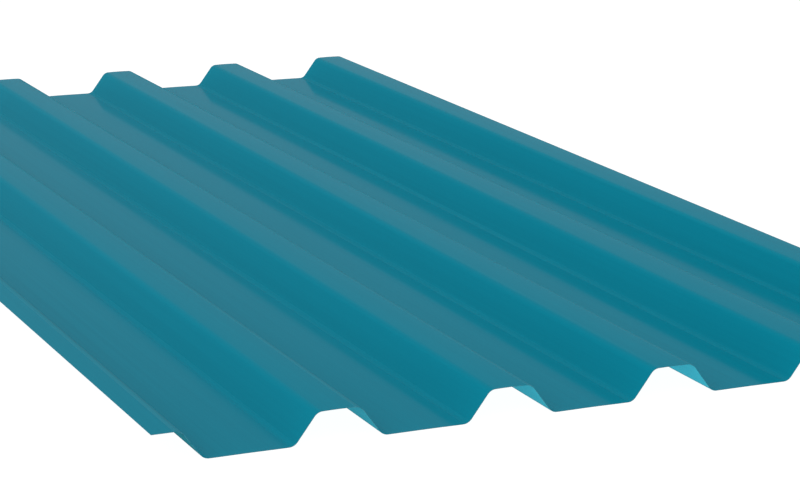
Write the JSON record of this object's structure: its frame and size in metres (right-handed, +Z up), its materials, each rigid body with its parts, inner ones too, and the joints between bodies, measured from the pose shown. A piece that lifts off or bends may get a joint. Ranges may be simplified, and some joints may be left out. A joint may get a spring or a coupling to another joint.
{
  "type": "trapezoidal corrugated metal sheet",
  "caption": "Coated steel roofing and cladding sheet, roll-formed with flat pans and raised trapezoidal ribs; one edge is an underlap lip, the other a full overlap rib.",
  "frame": {"origin": "on the floor, under the middle of the sheet", "axes": "+X across the ribs from the underlap edge to the overlap edge, +Y along the ribs, +Z up from the pans to the crests"},
  "size_m": [1.0916, 2, 0.0367],
  "materials": {
    "coated_steel": "satin teal coil coating, with a lighter cyan coat on the underside"
  },
  "bodies": {
    "root": {"corrugated_sheet": "coated_steel"}
  },
  "joints": []
}
